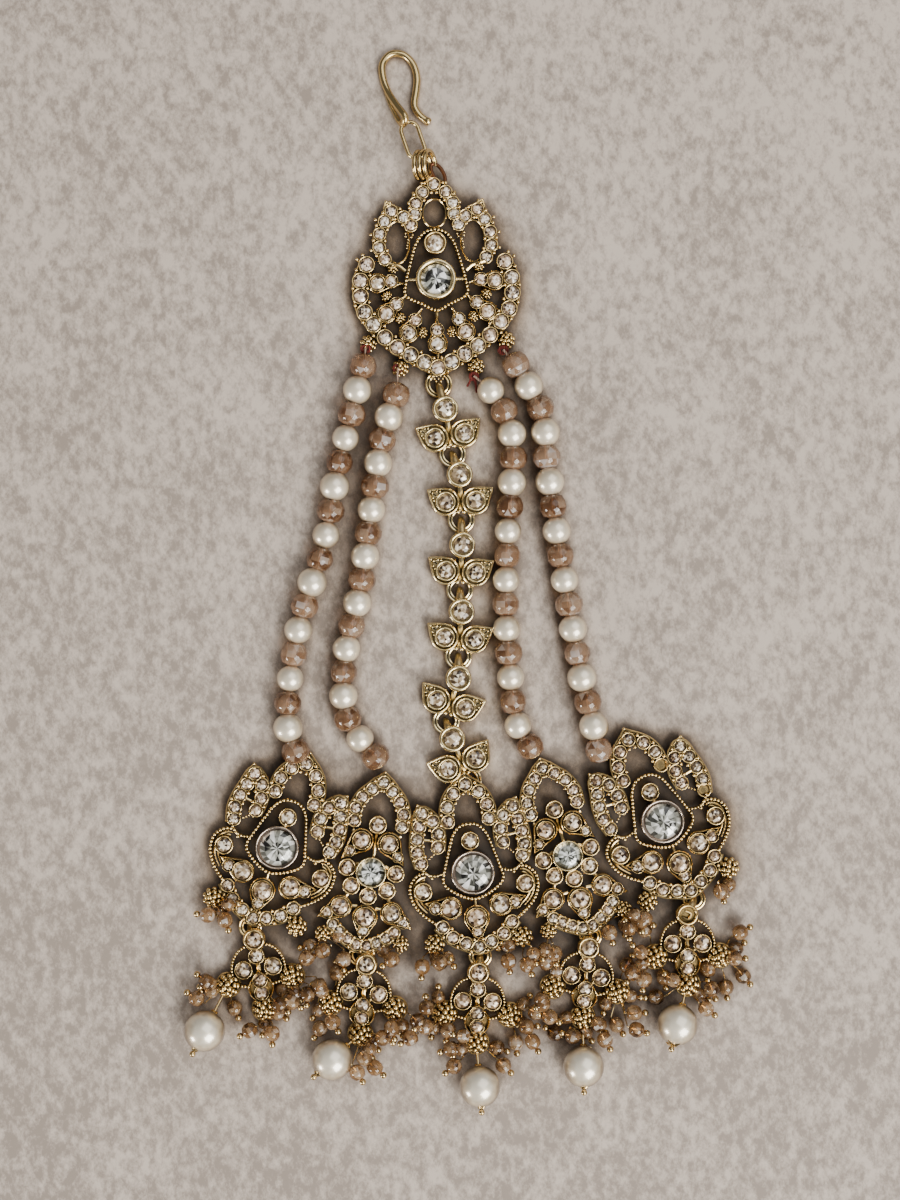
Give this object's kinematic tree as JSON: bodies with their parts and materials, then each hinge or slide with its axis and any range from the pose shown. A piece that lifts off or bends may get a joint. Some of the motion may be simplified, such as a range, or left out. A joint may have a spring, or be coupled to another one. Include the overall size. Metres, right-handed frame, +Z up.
{
  "type": "jhoomar head jewel",
  "caption": "Jhoomar: a pierced, stone-set medallion on a hook, with a link chain and bead strings holding a row of medallions that carry drops with pearls.",
  "frame": {"origin": "middle of the jewel's footprint, on the surface that it lies on", "axes": "+Y from the drops towards the hook, along the jewel; +Z up, out of the stones' faces; +X to the right with the hook at the top"},
  "size_m": [0.0903, 0.1702, 0.0064],
  "materials": {
    "wire_fittings": "antique gold, satin",
    "chain_links": "antique gold, satin",
    "medallions": "antique gold, darkened in its recesses",
    "drops": "antique gold, darkened in its recesses",
    "main_stones": "clear faceted glass on foil",
    "drop_pearls": "cream pearl",
    "strand_beads": "cream pearls and faceted peach glass in turn"
  },
  "bodies": {
    "root": {"hook": "wire_fittings", "hook_link": "wire_fittings", "coil_ring": "wire_fittings", "top_medallion": "medallions", "top_stone": "main_stones", "chain_link_1": "chain_links", "chain_link_2": "chain_links", "chain_link_3": "chain_links", "chain_link_4": "chain_links", "chain_link_5": "chain_links", "chain_link_6": "chain_links", "medallion_left_outer": "medallions", "stone_left_outer": "main_stones", "medallion_left_inner": "medallions", "stone_left_inner": "main_stones", "medallion_centre": "medallions", "stone_centre": "main_stones", "medallion_right_inner": "medallions", "stone_right_inner": "main_stones", "medallion_right_outer": "medallions", "stone_right_outer": "main_stones", "drop_left_outer": "drops", "pearl_left_outer": "drop_pearls", "drop_left_inner": "drops", "pearl_left_inner": "drop_pearls", "drop_centre": "drops", "pearl_centre": "drop_pearls", "drop_right_inner": "drops", "pearl_right_inner": "drop_pearls", "drop_right_outer": "drops", "pearl_right_outer": "drop_pearls", "strand_outer_left_1": "strand_beads", "strand_outer_left_2": "strand_beads", "strand_outer_left_3": "strand_beads", "strand_outer_left_4": "strand_beads", "strand_outer_left_5": "strand_beads", "strand_outer_left_6": "strand_beads", "strand_inner_left_1": "strand_beads", "strand_inner_left_2": "strand_beads", "strand_inner_left_3": "strand_beads", "strand_inner_left_4": "strand_beads", "strand_inner_left_5": "strand_beads", "strand_inner_left_6": "strand_beads", "strand_inner_right_1": "strand_beads", "strand_inner_right_2": "strand_beads", "strand_inner_right_3": "strand_beads", "strand_inner_right_4": "strand_beads", "strand_inner_right_5": "strand_beads", "strand_inner_right_6": "strand_beads", "strand_outer_right_1": "strand_beads", "strand_outer_right_2": "strand_beads", "strand_outer_right_3": "strand_beads", "strand_outer_right_4": "strand_beads", "strand_outer_right_5": "strand_beads", "strand_outer_right_6": "strand_beads"}
  },
  "joints": []
}
